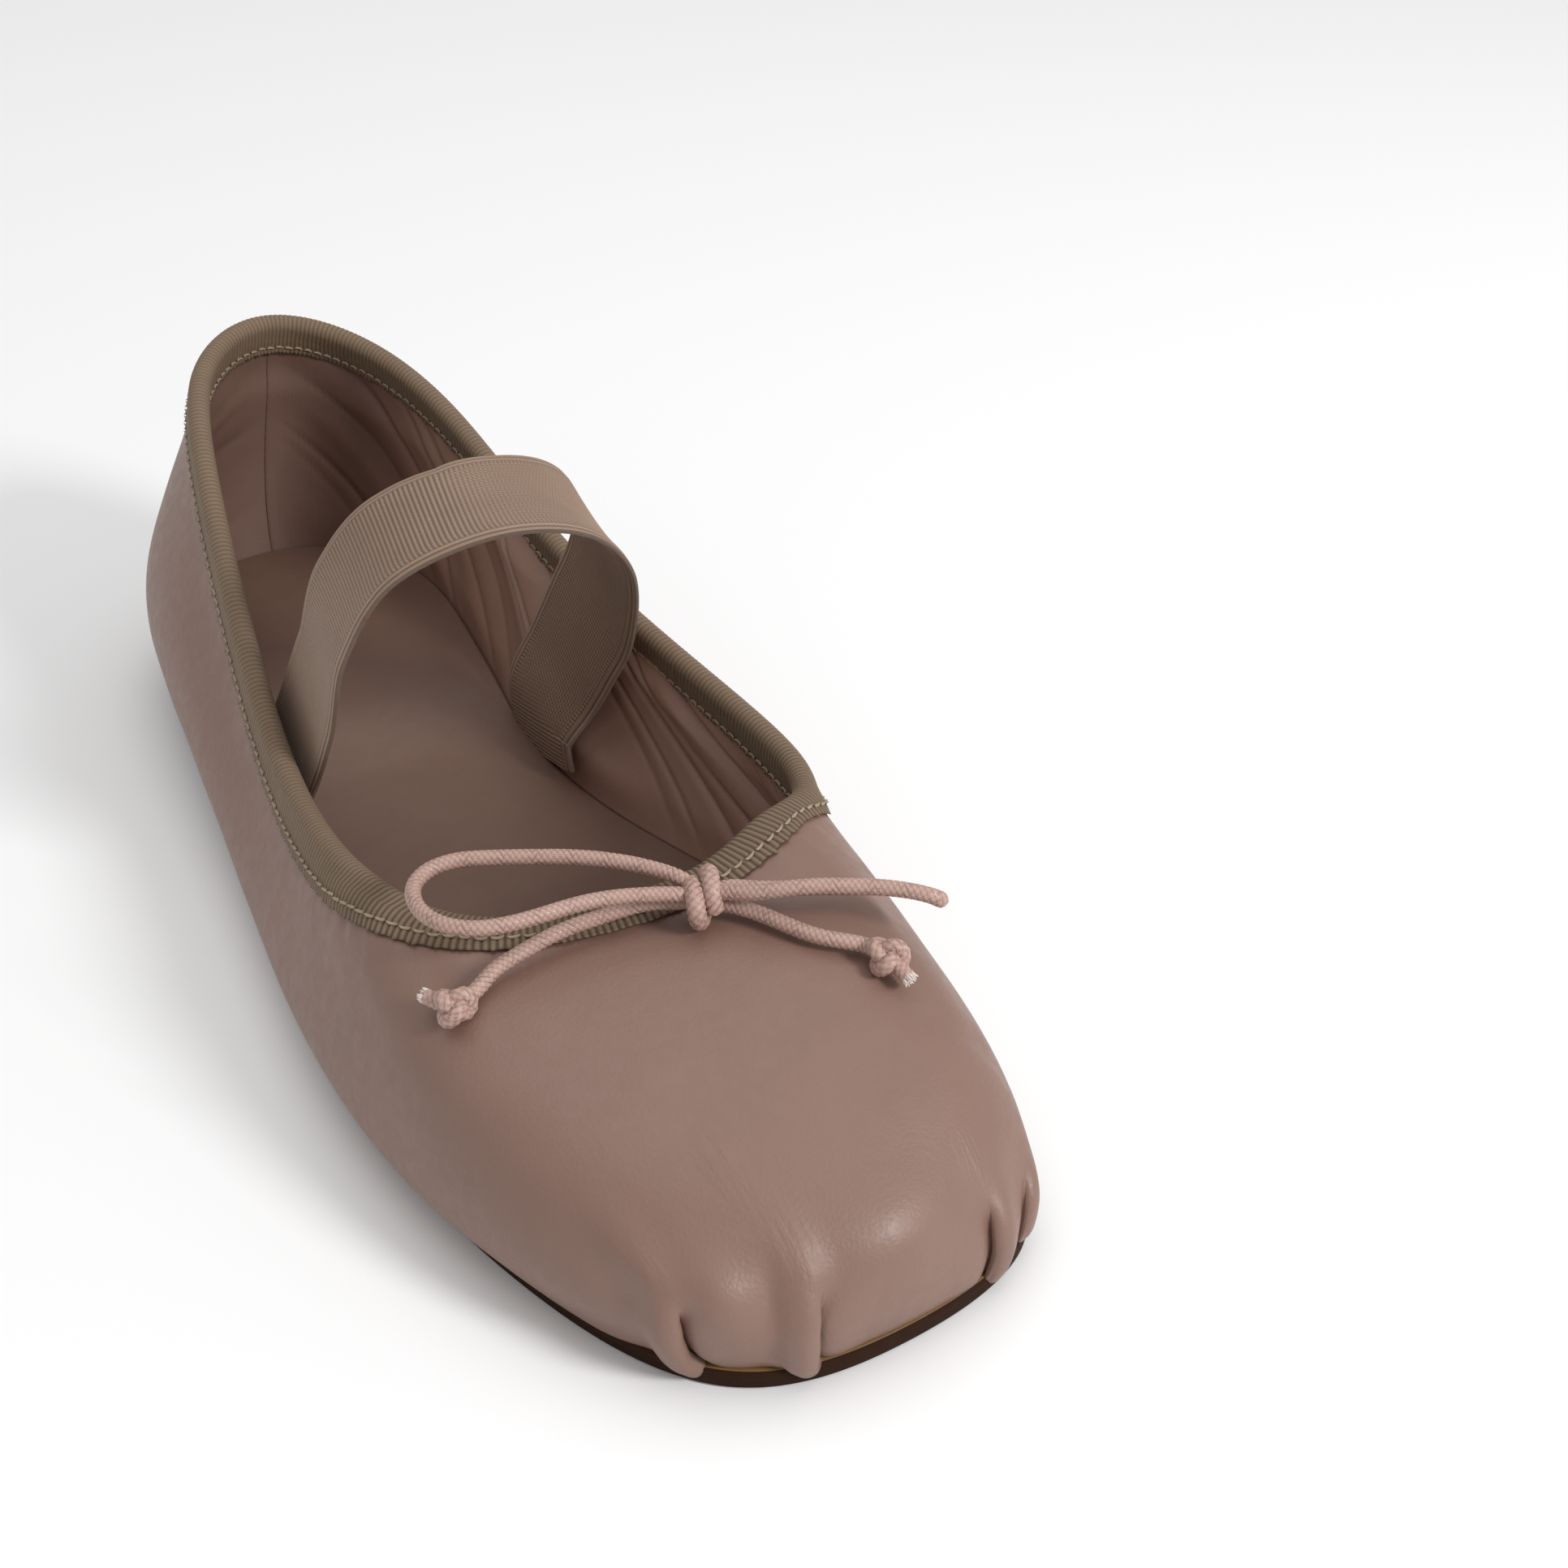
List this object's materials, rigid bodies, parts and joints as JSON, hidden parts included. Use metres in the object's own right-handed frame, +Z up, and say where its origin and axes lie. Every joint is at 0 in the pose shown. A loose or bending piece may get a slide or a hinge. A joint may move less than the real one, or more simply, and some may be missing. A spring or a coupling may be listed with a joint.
{
  "type": "ballet slipper",
  "caption": "Right-foot leather ballet slipper with a low heel, ribbon-bound topline, elastic instep strap and a thin cord bow on the vamp.",
  "frame": {"origin": "on the ground, under the centre of the slipper's bounding box", "axes": "+Z up; +Y from the toe to the heel; +X towards the inner (medial) side of this right-foot slipper"},
  "size_m": [0.089, 0.2473, 0.0779],
  "materials": {
    "sole_leather": "matte",
    "top_piece_rubber": "matte",
    "board": "matte",
    "cork": "matte",
    "shank_steel": "satin",
    "cushion": "matte",
    "sock_leather": "satin",
    "nappa_leather": "satin",
    "stiffener": "matte",
    "vamp_cloth": "matte",
    "lining_leather": "satin",
    "grosgrain": "matte",
    "braided_cord": "satin",
    "thread": "satin",
    "elastic_webbing": "matte"
  },
  "bodies": {
    "shoe": {"outsole": "sole_leather", "heel_lift": "sole_leather", "heel_top_piece": "top_piece_rubber", "insole_board": "board", "bottom_filler": "cork", "shank": "shank_steel", "heel_cushion": "cushion", "sock_lining": "sock_leather", "upper_leather": "nappa_leather", "heel_counter": "stiffener", "toe_puff": "stiffener", "vamp_lining": "vamp_cloth", "quarter_lining_lateral": "lining_leather", "quarter_lining_medial": "lining_leather", "topline_binding": "grosgrain", "drawcord": "braided_cord", "binding_thread_outer": "thread", "binding_thread_inner": "thread", "strap_tab_lateral": "elastic_webbing", "strap_tab_medial": "elastic_webbing", "bow_knot": "braided_cord"},
    "strap": {"instep_strap": "elastic_webbing"},
    "loop_left": {"bow_loop_left": "braided_cord"},
    "loop_right": {"bow_loop_right": "braided_cord"},
    "tail_left": {"bow_tail_left": "braided_cord", "tail_knot_left": "braided_cord"},
    "tail_right": {"bow_tail_right": "braided_cord", "tail_knot_right": "braided_cord"}
  },
  "joints": [
    {"name": "strap_swing", "type": "hinge", "parent": "shoe", "child": "strap", "pos_m": [-0.0035, 0.0237, 0.017], "axis": [1, 0, 0], "range_deg": [-12, 15], "stiffness_Nm_per_rad": 0.05},
    {"name": "loop_left_lift", "type": "hinge", "parent": "shoe", "child": "loop_left", "pos_m": [0.00653, -0.06792, 0.0398], "axis": [0.4202, 0.9074, 0], "range_deg": [0, 45]},
    {"name": "loop_right_lift", "type": "hinge", "parent": "shoe", "child": "loop_right", "pos_m": [0.00653, -0.06792, 0.0398], "axis": [-0.5508, -0.8347, 0], "range_deg": [0, 45]},
    {"name": "tail_left_swing", "type": "hinge", "parent": "shoe", "child": "tail_left", "pos_m": [0.00653, -0.06792, 0.0398], "axis": [0, 0, 1], "range_deg": [0, 40]},
    {"name": "tail_right_swing", "type": "hinge", "parent": "shoe", "child": "tail_right", "pos_m": [0.00653, -0.06792, 0.0398], "axis": [0, 0, -1], "range_deg": [0, 35]}
  ]
}
